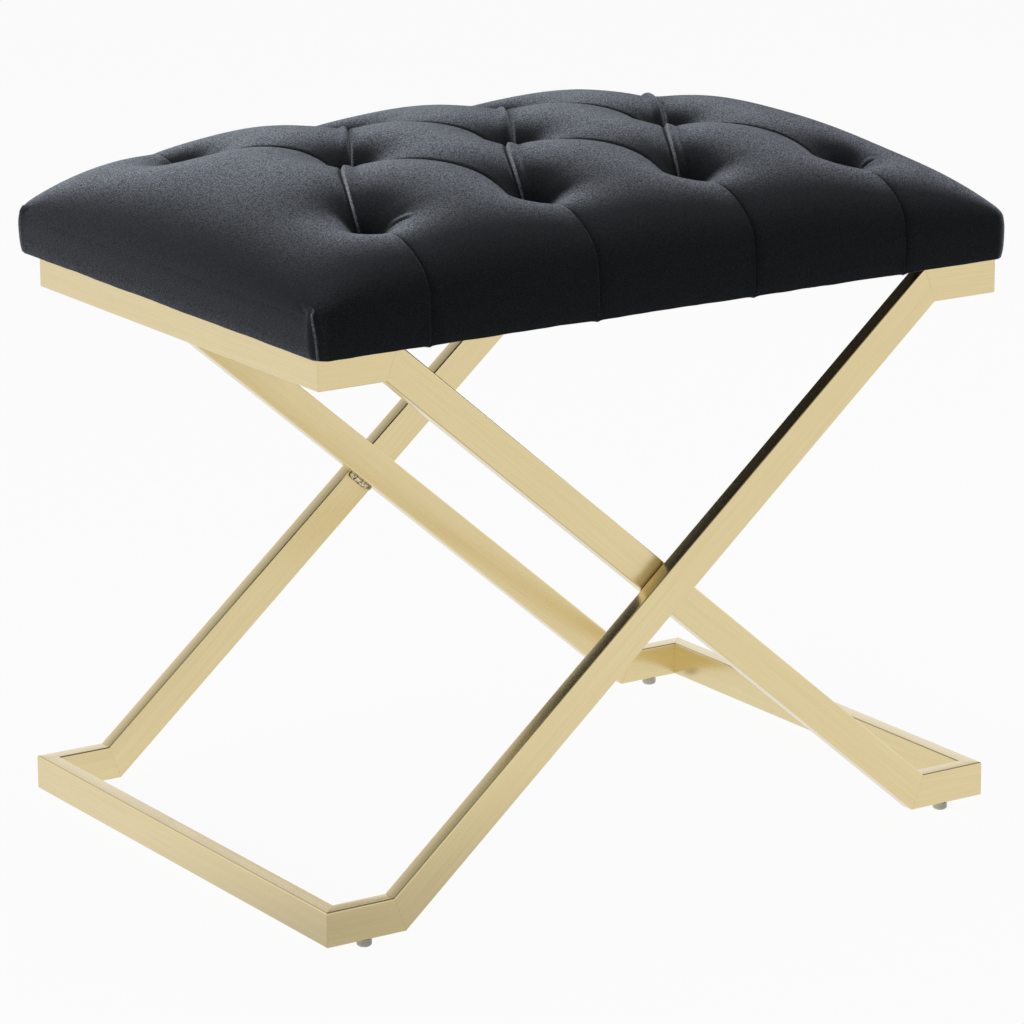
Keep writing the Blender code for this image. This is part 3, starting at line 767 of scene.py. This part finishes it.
def flap_step(right):
    """A flap that stands up sharply at its left edge and slopes down to a soft groove at its right."""
    rise = np.clip(right / FLAP_FOOT + 1, 0, 1)
    fall = np.clip(1 - (np.maximum(right, 0) / FLAP_WIDTH) ** 2, 0, 1)
    left_groove = np.exp(-((right + 2 * FLAP_FOOT) / FLAP_FOOT) ** 2)
    shade = np.exp(-((right - FLAP_WIDTH) / FLAP_SHADE) ** 2)
    return FLAP_HEIGHT * rise * fall - FLAP_GROOVE * left_groove - FLAP_SHADE_DEPTH * shade


def welt_step(right):
    """A soft welt on the left of a thin groove, and a crisp edge on its right."""
    welt = np.maximum(0, 1 - (right / WELT_HALF + 1) ** 2)
    edge = np.clip(right / CREASE_WIDTH, 0, 1) * np.exp(-np.maximum(0, right) / WELT_REACH)
    return WELT_HEIGHT * welt + WELT_EDGE * edge - crease_step(right)


def crease_step(right):
    """A thin groove along a fold."""
    return CREASE_DEPTH * np.exp(-(right / CREASE_WIDTH) ** 2)


def pleat_step(across):
    """Cloth lapped over from the left: a lip, then a sharp drop at its right."""
    near = np.exp(-np.abs(across) / PLEAT_REACH)
    return np.where(across <= 0, PLEAT_LIP, -PLEAT_DEPTH) * near


def fold_relief(x, y):
    """How far the cloth stands out along its folds, and the nearest fold: how far off, and its painted
    glint.
    """
    relief, crease, glint = np.zeros_like(x), np.full_like(x, 1.0), np.zeros_like(x)
    for fold in DIAGONALS + SHORT_CREASES:
        right, along, length = fold_frame(x, y, fold)
        live = (along > 0) & (along < length)
        body = np.sin(math.pi * np.clip(along / length, 0, 1)) ** FOLD_TAPER
        step, line, shine = -crease_step(right), right, CROSSING_GLINT
        if fold in FLAPS:
            step, line, shine = flap_step(right), right + FLAP_FOOT, FLAP_GLINT
        elif fold in WELTS:
            step, shine = welt_step(right) * (PROUD_WELT if fold == WELTS[-1] else 1), WELT_GLINT
        elif fold in SHORT_CREASES:
            step, shine = welt_step(right) * SHORT_WELT, SHORT_GLINT
        relief += np.where(live, body * step, 0)
        nearer = live & (np.abs(line) < np.abs(crease))
        crease, glint = np.where(nearer, line, crease), np.where(nearer, shine * body, glint)
    for fold in PLEATS:
        along = fold_frame(x, y, fold)[1]
        across, begun = x - fold[0][0], np.clip(along / PLEAT_START, 0, 1)
        relief += begun * pleat_step(across)
        nearer = (along > 0) & (np.abs(across) < np.abs(crease))
        crease, glint = np.where(nearer, across, crease), np.where(nearer, PLEAT_GLINT * begun, glint)
    return relief, crease, glint


def dart_relief(plan, places, crease, glint):
    """Folded darts that slant up the end faces from the lower corners, with a painted glint beside each.
    """
    level = np.clip((places[:, 2] - LIP_Z) / (DART_TOP - LIP_Z), 0, 1)
    line = SEAT_DEPTH / 2 - np.abs(plan[:, 1]) - DART_RUN * level ** DART_BEND
    line -= np.where(plan[:, 0] > 0, RIGHT_DART_SET, 0)
    live = (np.abs(plan[:, 0]) > SEAT_LENGTH / 2 - DART_FACE) & (places[:, 2] < DART_TOP)
    fade = np.clip((DART_TOP - places[:, 2]) / DART_FADE, 0, 1) * live
    lip = np.clip(line / CREASE_WIDTH, 0, 1) * np.exp(-np.maximum(0, line) / DART_REACH)
    nearer = live & (np.abs(line) < np.abs(crease))
    crease, glint = np.where(nearer, line, crease), np.where(nearer, DART_GLINT * fade, glint)
    return DART_LIP * lip * fade, crease, glint


def edge_wave(plan, side_rows):
    """How far the lower edge hangs down and out: a slow wave, and a small nub under each pleat."""
    low = np.clip(plan[:, 2] / side_rows, 0, 1) ** EDGE_WAVE_POWER
    wave = np.array([
        sum(share * noise.noise((x * scale, y * scale, seed)) for scale, seed, share in EDGE_WAVES)
        for x, y in plan[:, :2].tolist()
    ])
    nub = sum(np.exp(-((plan[:, 0] - x) / EDGE_NUB_REACH) ** 2) for x, _ in TUFTS[:4])
    nub *= np.abs(plan[:, 1]) >= SEAT_DEPTH / 2 - 1e-6
    return low * (EDGE_WAVE * wave - EDGE_NUB * nub), low * EDGE_NUB * nub


def cubic_weights(t):
    """Catmull-Rom weights of the four nearest grid lines, part of the way between the middle two."""
    return (
        -0.5 * t + t * t - 0.5 * t ** 3, 1 - 2.5 * t * t + 1.5 * t ** 3,
        0.5 * t + 2 * t * t - 1.5 * t ** 3, -0.5 * t * t + 0.5 * t ** 3,
    )


def swell_moves():
    """How far simulated cloth swells between its held folds, on the grid lines of a coarse net."""
    bm, plan = seat_net(SWELL_CELLS, SWELL_EDGE_X, SWELL_EDGE_Y, 0)
    places = padded_form(plan, 1, 0, 0.0, LIP_Z, HEM_Z)
    move_points(bm, places)
    bmesh.ops.recalc_face_normals(bm, faces=bm.faces[:])
    away = np.min([fold_distance(plan[:, 0], plan[:, 1], fold) for fold in DIAGONALS + PLEATS], axis=0)
    rim = np.array([v.is_boundary for v in bm.verts])
    mesh = bpy.data.meshes.new("swelling")
    bm.to_mesh(mesh)
    bm.free()
    if mesh.polygons[0].normal.z < 0:
        mesh.flip_normals()
    cloth = bpy.data.objects.new("swelling", mesh)
    bpy.context.scene.collection.objects.link(cloth)
    held = cloth.vertex_groups.new(name="held")
    held.add(np.flatnonzero(rim | (away < HELD_WIDTH)).tolist(), 1.0, "REPLACE")
    sewn = cloth.modifiers.new("swell", "CLOTH")
    sewn.settings.quality = SWELL_QUALITY
    sewn.settings.mass = SWELL_MASS
    sewn.settings.use_pressure = True
    sewn.settings.uniform_pressure_force = SWELL_PRESSURE
    sewn.settings.vertex_group_mass = "held"
    sewn.settings.effector_weights.gravity = 0
    sewn.collision_settings.use_collision = False
    sewn.point_cache.frame_start, sewn.point_cache.frame_end = 1, SWELL_FRAMES
    for number in range(1, SWELL_FRAMES + 1):
        bpy.context.scene.frame_set(number)
    swollen = cloth.evaluated_get(bpy.context.evaluated_depsgraph_get()).data
    moves = np.array([v.co for v in swollen.vertices]) - places
    bpy.context.scene.frame_set(1)
    bpy.data.objects.remove(cloth)
    bpy.data.meshes.remove(mesh)
    size = np.linalg.norm(moves, axis=1, keepdims=True)
    moves *= np.tanh(size / SWELL_CAP) * SWELL_CAP / np.maximum(size, 1e-9)
    columns, i = np.unique(plan[:, 0].round(7), return_inverse=True)
    rows, j = np.unique(plan[:, 1].round(7), return_inverse=True)
    grid = np.zeros((len(columns), len(rows), 3))
    grid[i, j] = moves
    return columns, rows, grid


def swell_at(x, y, swelling):
    """The simulated swelling at plan places, smoothly between the grid lines."""
    columns, rows, grid = swelling
    across = np.interp(x, columns, np.arange(len(columns)))
    deep = np.interp(y, rows, np.arange(len(rows)))
    i, j = np.floor(across).astype(int), np.floor(deep).astype(int)
    moves = np.zeros((len(x), 3))
    for di, wx in enumerate(cubic_weights(across - i), -1):
        for dj, wy in enumerate(cubic_weights(deep - j), -1):
            near = grid[np.clip(i + di, 0, len(columns) - 1), np.clip(j + dj, 0, len(rows) - 1)]
            moves += (wx * wy)[:, None] * near
    return moves


def ruled(step, count, edge_cells, rim):
    """Grid lines of the seat: even out to the outer tufts, then closing up towards the rim."""
    flat = step * count
    half = [step * k for k in range(count + 1)]
    turns = [math.pi / 2 * k / edge_cells for k in range(1, edge_cells + 1)]
    half += [flat + (rim - flat) * math.sin(turn) for turn in turns]
    return np.array([-v for v in reversed(half[1:])] + half)


def seat_net(cells, edge_x, edge_y, rows_down):
    """A flat net of the seat: a grid split along the folds, with rows run out from its rim.

    Every point keeps its plan place and its row below the rim.
    """
    columns = ruled(TUFT_STEP / 2 / cells, 3 * cells, edge_x, SEAT_LENGTH / 2)
    rows = ruled(TUFT_ROW / cells, cells, edge_y, SEAT_DEPTH / 2)
    last_x, last_y = len(columns) - 1, len(rows) - 1
    bm = bmesh.new()
    bmesh.ops.create_grid(bm, x_segments=last_x, y_segments=last_y, size=0.5)
    start = np.array([v.co for v in bm.verts])
    i = np.rint((start[:, 0] + 0.5) * last_x).astype(int)
    j = np.rint((start[:, 1] + 0.5) * last_y).astype(int)
    plan = bm.verts.layers.float_vector.new("plan")
    for vert, x, y in zip(bm.verts, columns[i].tolist(), rows[j].tolist()):
        vert[plan] = (x, y, 0)
    cell_of = dict(zip(bm.verts, zip((i - last_x // 2).tolist(), (j - last_y // 2).tolist())))
    for face in bm.faces[:]:
        corners = {cell_of[v]: v for v in face.verts}
        a, b = min(corners)
        if -3 * cells <= a < 3 * cells and -cells <= b < cells:
            rising = (a % (2 * cells) < cells) == (b >= 0)
            first, second = ((a, b), (a + 1, b + 1)) if rising else ((a + 1, b), (a, b + 1))
            bmesh.utils.face_split(face, corners[first], corners[second])
    border = [e for e in bm.edges if e.is_boundary]
    for row in range(1, rows_down + 1):
        drawn = bmesh.ops.extrude_edge_only(bm, edges=border)["geom"]
        for vert in drawn:
            if isinstance(vert, bmesh.types.BMVert):
                vert[plan] = (*vert[plan].xy, row)
        border = [e for e in drawn if isinstance(e, bmesh.types.BMEdge) and e.is_boundary]
    return bm, np.array([v[plan] for v in bm.verts])


def corner_share(plan_side, half):
    return np.clip((np.abs(plan_side) - half + SEAT_CORNER) / SEAT_CORNER, 0, 1)


def padded_form(plan, side_rows, turn_rows, inset, low, hem_z):
    """Places of the net on the padded seat, drawn in by an inset and taken down to a low level.

    With turn rows the lower edge is rounded into a lip, and one more row rises from it to the hem.
    """
    row = plan[:, 2]
    z = seat_height(plan[:, 0], plan[:, 1]) - inset
    px, py = settle(plan[:, 0], plan[:, 1])
    half_x, half_y = SEAT_LENGTH / 2, SEAT_DEPTH / 2
    u, v = corner_share(px, half_x), corner_share(py, half_y)
    round_u, round_v = u * np.sqrt(1 - v * v / 2), v * np.sqrt(1 - u * u / 2)
    x = np.minimum(np.abs(px), half_x - SEAT_CORNER) + SEAT_CORNER * round_u
    y = np.minimum(np.abs(py), half_y - SEAT_CORNER) + SEAT_CORNER * round_v
    x -= inset * np.clip((np.abs(px) - INSET_FROM_X) / (half_x - INSET_FROM_X), 0, 1)
    y -= inset * np.clip((np.abs(py) - INSET_FROM_Y) / (half_y - INSET_FROM_Y), 0, 1)
    lip_round = LIP_ROUND if turn_rows else 0
    down = np.clip(row / side_rows, 0, 1)
    past = np.maximum(0, row - side_rows)
    turn = np.clip(past / max(turn_rows, 1), 0, 1) * math.pi / 2
    rise = np.clip(past - turn_rows, 0, 1)
    under = np.clip(past - turn_rows - (1 if turn_rows else 0), 0, 1)
    bulge = 1 - np.abs(2 * down - 1) ** SIDE_BULGE_POWER
    out = SIDE_BULGE * bulge - SIDE_DRAW_IN * down
    z += (low + lip_round - z) * down
    if turn_rows:
        out -= lip_round * (1 - np.cos(turn)) + HEM_RISE * rise
        z -= lip_round * np.sin(turn)
    z += (hem_z - z) * rise
    x = (x + round_u * out) * (1 - HEM_WIDTH / half_x * under)
    y = (y + round_v * out) * (1 - HEM_WIDTH / half_y * under)
    return np.stack([np.sign(px) * x, np.sign(py) * y, z], axis=1)


def move_points(bm, places):
    for vert, place in zip(bm.verts, places.tolist()):
        vert.co = place


def join_meshes(bm, other):
    """Takes another mesh's faces into this one."""
    kept = bpy.data.meshes.new("joining")
    other.to_mesh(kept)
    other.free()
    bm.from_mesh(kept)
    bpy.data.meshes.remove(kept)


def build_cushion(velvet):
    """The velvet cover as a closed shell: its folded outside, a plain inside, joined along the hem."""
    bm, plan = seat_net(FINE_CELLS, FINE_EDGE_X, FINE_EDGE_Y, FINE_SIDE + HEM_TURN_ROWS + 2)
    places = padded_form(plan, FINE_SIDE, HEM_TURN_ROWS, 0.0, LIP_Z, HEM_Z)
    places += swell_at(plan[:, 0], plan[:, 1], swell_moves()) * (plan[:, 2:] < 1)
    move_points(bm, places)
    bm.normal_update()
    out = np.array([v.normal for v in bm.verts])
    relief, crease, glint = fold_relief(plan[:, 0], plan[:, 1])
    dart, crease, glint = dart_relief(plan, places, crease, glint)
    drop, nub = edge_wave(plan, FINE_SIDE)
    relief = np.where(plan[:, 2] <= FINE_SIDE, relief + dart + nub, 0)
    places += out * relief[:, None]
    places[:, 2] += np.where(plan[:, 2] <= FINE_SIDE + HEM_TURN_ROWS, drop, 0)
    move_points(bm, places)
    # Where the painted glints and painted shadows beside the folds show, fading away from them
    gate = np.clip(2 - np.abs(crease) / GLINT_FADE, 0, 1)
    # Painted shade on the end faces, darker as they turn upright
    upright = np.clip((np.abs(out[:, 0]) - END_SHADE_FROM) / (END_SHADE_TO - END_SHADE_FROM), 0, 1)
    painted_end_shade = 1 - END_SHADE * upright ** 2 * (3 - 2 * upright)
    crease_layer = bm.verts.layers.float_vector.new("crease")
    painted_end_shade_layer = bm.verts.layers.float.new("painted_end_shade")
    marks = np.stack([crease, glint, gate], axis=1)
    for vert, mark, share in zip(bm.verts, marks.tolist(), painted_end_shade.tolist()):
        vert[crease_layer] = mark
        vert[painted_end_shade_layer] = share
    inside, plan = seat_net(PLAIN_CELLS, PLAIN_EDGE_X, PLAIN_EDGE_Y, PLAIN_SIDE + 1)
    level = HEM_Z + COVER_THICK
    move_points(inside, padded_form(plan, PLAIN_SIDE, 0, PILE_INSET, level, level))
    join_meshes(bm, inside)
    bmesh.ops.bridge_loops(bm, edges=[e for e in bm.edges if e.is_boundary])
    cushion = add_piece("velvet_seat_cover", bm, velvet, ["velvet_cover"], smooth_angle=50)


def drilled(bm, places, radius, low, high):
    """The mesh with round holes drilled through it at the given places."""
    block = bpy.data.objects.new("drilled", bpy.data.meshes.new("drilled"))
    bm.to_mesh(block.data)
    bm.free()
    drills = bmesh.new()
    for x, y in places:
        at = Matrix.Translation((x, y, (low + high) / 2))
        bmesh.ops.create_cone(
            drills, cap_ends=True, segments=16, radius1=radius, radius2=radius,
            depth=high - low, matrix=at,
        )
    drill = bpy.data.objects.new("drill", bpy.data.meshes.new("drill"))
    drills.to_mesh(drill.data)
    drills.free()
    for part in (block, drill):
        bpy.context.scene.collection.objects.link(part)
    cut = block.modifiers.new("holes", "BOOLEAN")
    cut.object, cut.operation, cut.solver = drill, "DIFFERENCE", "EXACT"
    holed = bmesh.new()
    holed.from_object(block, bpy.context.evaluated_depsgraph_get())
    for part in (block, drill):
        mesh = part.data
        bpy.data.objects.remove(part)
        bpy.data.meshes.remove(mesh)
    return holed


def build_foam(foam):
    """The foam block under the cover, holed for the tuft ties."""
    bm, plan = seat_net(PLAIN_CELLS, PLAIN_EDGE_X, PLAIN_EDGE_Y, PLAIN_SIDE)
    move_points(bm, padded_form(plan, PLAIN_SIDE, 0, FOAM_INSET, FOAM_Z, FOAM_Z))
    bmesh.ops.holes_fill(bm, edges=[e for e in bm.edges if e.is_boundary])
    bmesh.ops.recalc_face_normals(bm, faces=bm.faces[:])
    bm = drilled(bm, TUFTS, TIE_HOLE_RADIUS, FOAM_Z - DRILL_OVERRUN, RIM_HEIGHT + CROWN)
    block = add_piece("foam_block", bm, foam, ["foam_pad"])


def build_dust_cover(lining):
    """A thin lining stretched under the board, sagging a little, holed for the screws."""
    bm = bmesh.new()
    bmesh.ops.create_grid(bm, x_segments=64, y_segments=48, size=0.5)
    width, depth = SEAT_LENGTH - 2 * DUST_COVER_INSET, SEAT_DEPTH - 2 * DUST_COVER_INSET
    for vert in bm.verts:
        free = (1 - (2 * vert.co.x) ** 2) ** 2 * (1 - (2 * vert.co.y) ** 2) ** 2
        vert.co = (vert.co.x * width, vert.co.y * depth, DUST_COVER_Z - DUST_COVER_SAG * free)
    raised = bmesh.ops.extrude_face_region(bm, geom=bm.faces[:])["geom"]
    raised = [v for v in raised if isinstance(v, bmesh.types.BMVert)]
    bmesh.ops.translate(bm, verts=raised, vec=(0, 0, DUST_COVER_THICK))
    bmesh.ops.recalc_face_normals(bm, faces=bm.faces[:])
    places = [(x, y) for x in (-SCREW_X, SCREW_X) for y in (-SCREW_Y, SCREW_Y)]
    low, high = DUST_COVER_Z - DRILL_OVERRUN, DUST_COVER_Z + DRILL_OVERRUN
    bm = drilled(bm, places, SCREW_HOLE_RADIUS, low, high)
    sheet = add_piece("dust_cover_lining", bm, lining, ["dust_cover"])


def finish_node(node, material):
    """Gives a node kept from the CAD its finish."""
    mesh = bpy.data.objects[node].data
    mesh.materials.clear()
    mesh.materials.append(material)


# Studio

def studio_floor():
    """A white floor: a trace of shadow for the camera, and a painted shade near the bench in reflections.
    """
    bm = bmesh.new()
    bmesh.ops.create_grid(bm, x_segments=1, y_segments=1, size=FLOOR_HALF)
    mesh = bpy.data.meshes.new("studio_floor")
    bm.to_mesh(mesh)
    bm.free()
    floor = bpy.data.objects.new("studio_floor", mesh)
    bpy.context.scene.collection.objects.link(floor)
    material = bpy.data.materials.new("studio_floor")
    material.use_nodes = True
    tree = material.node_tree
    tree.nodes.clear()
    paint = add_node(tree, "ShaderNodeBsdfDiffuse", Color=FLOOR_PAINT)
    glow = add_node(tree, "ShaderNodeEmission", Color=(1, 1, 1, 1))
    ray = add_node(tree, "ShaderNodeLightPath")
    mirrored = ray.outputs["Is Glossy Ray"]
    place = add_node(tree, "ShaderNodeTexCoord")
    away = add_node(tree, "ShaderNodeVectorMath", operation="DISTANCE")
    feed(tree, away.inputs[0], place.outputs["Object"])
    feed(tree, away.inputs[1], FLOOR_SHADE_PLACE)
    seen = calc(tree, "MULTIPLY", ray.outputs["Is Camera Ray"], FLOOR_GLOW)
    share = calc(tree, "MULTIPLY_ADD", mirrored, FLOOR_MIRROR_SHARE, seen)
    # Painted shade near the bench, only for reflected rays
    shade = spread(
        tree, away.outputs["Value"], FLOOR_SHADE_LEVEL, FLOOR_MIRROR_LEVEL,
        end=FLOOR_SHADE_REACH, smooth=True,
    )
    feed(tree, glow.inputs["Strength"], blend(tree, "FLOAT", mirrored, 1.0, shade))
    mixed = add_node(tree, "ShaderNodeMixShader")
    output = add_node(tree, "ShaderNodeOutputMaterial")
    tree.links.new(share, mixed.inputs["Fac"])
    tree.links.new(paint.outputs["BSDF"], mixed.inputs[1])
    tree.links.new(glow.outputs["Emission"], mixed.inputs[2])
    tree.links.new(mixed.outputs["Shader"], output.inputs["Surface"])
    mesh.materials.append(material)


def studio_world():
    """A white room for the camera and a soft fill for cloth. In reflections its ceiling is dark."""
    world = bpy.data.worlds.new("studio")
    bpy.context.scene.world = world
    world.use_nodes = True
    tree = world.node_tree
    tree.nodes.clear()
    ray = add_node(tree, "ShaderNodeLightPath")
    way = add_node(tree, "ShaderNodeTexCoord")
    parts = add_node(tree, "ShaderNodeSeparateXYZ")
    light = add_node(tree, "ShaderNodeBackground", Color=(1, 1, 1, 1))
    output = add_node(tree, "ShaderNodeOutputWorld")
    tree.links.new(way.outputs["Generated"], parts.inputs["Vector"])
    room = spread(tree, parts.outputs["Z"], 1.0, CEILING_DARK, CEILING_FROM, CEILING_TO, smooth=True)
    plain = spread(tree, ray.outputs["Is Camera Ray"], WORLD_FILL, 1.0)
    strength = blend(tree, "FLOAT", ray.outputs["Is Glossy Ray"], plain, room)
    tree.links.new(strength, light.inputs["Strength"])
    tree.links.new(light.outputs["Background"], output.inputs["Surface"])


def soft_light(name, place, size, power):
    lamp = bpy.data.lights.new(name, "AREA")
    lamp.size, lamp.energy = size, power
    light = bpy.data.objects.new(name, lamp)
    light.location = place
    light.visible_glossy = False
    light.rotation_euler = (Vector(LAMP_AIM) - Vector(place)).to_track_quat("-Z", "Y").to_euler()
    bpy.context.scene.collection.objects.link(light)


def photo_camera():
    lens = bpy.data.cameras.new("photo_camera")
    lens.lens, lens.sensor_width, lens.clip_end = CAMERA_LENS, CAMERA_SENSOR, CAMERA_END
    camera = bpy.data.objects.new("photo_camera", lens)
    camera.location = CAMERA_PLACE
    camera.rotation_euler = [math.radians(angle) for angle in CAMERA_TURN]
    bpy.context.scene.collection.objects.link(camera)
    bpy.context.scene.camera = camera


def main():
    gold = tube_gold()
    weld = weld_metal()
    build_loop("inner_frame", INNER_DEPTH, -1, gold, first_seed=1)
    build_loop("outer_frame", OUTER_DEPTH, 1, gold, first_seed=1 + len(TUBE_NAMES))
    build_weld("crossing_weld_front", -1, weld)
    build_weld("crossing_weld_rear", 1, weld)
    plastic = glide_plastic()
    for corner in CORNERS:
        build_glide(f"glide_{corner}", plastic)
    build_cushion(black_velvet())
    build_foam(plain_finish("yellow_foam"))
    build_dust_cover(plain_finish("black_lining"))
    finish_node("seat_board", plain_finish("birch_ply"))
    twine = plain_finish("waxed_twine")
    zinc = plain_finish("plated_steel")
    for row, count in (("front", 4), ("middle", 3), ("back", 4)):
        for number in range(1, count + 1):
            finish_node(f"tuft_tie_{row}_{number}", twine)
    tab = tab_gold()
    for corner in CORNERS:
        finish_node(f"seat_tab_{corner}", tab)
        finish_node(f"seat_screw_{corner}", zinc)
    studio_floor()
    studio_world()
    for lamp in LAMPS:
        soft_light(*lamp)
    photo_camera()
    bpy.context.scene.view_settings.view_transform = "Standard"


main()
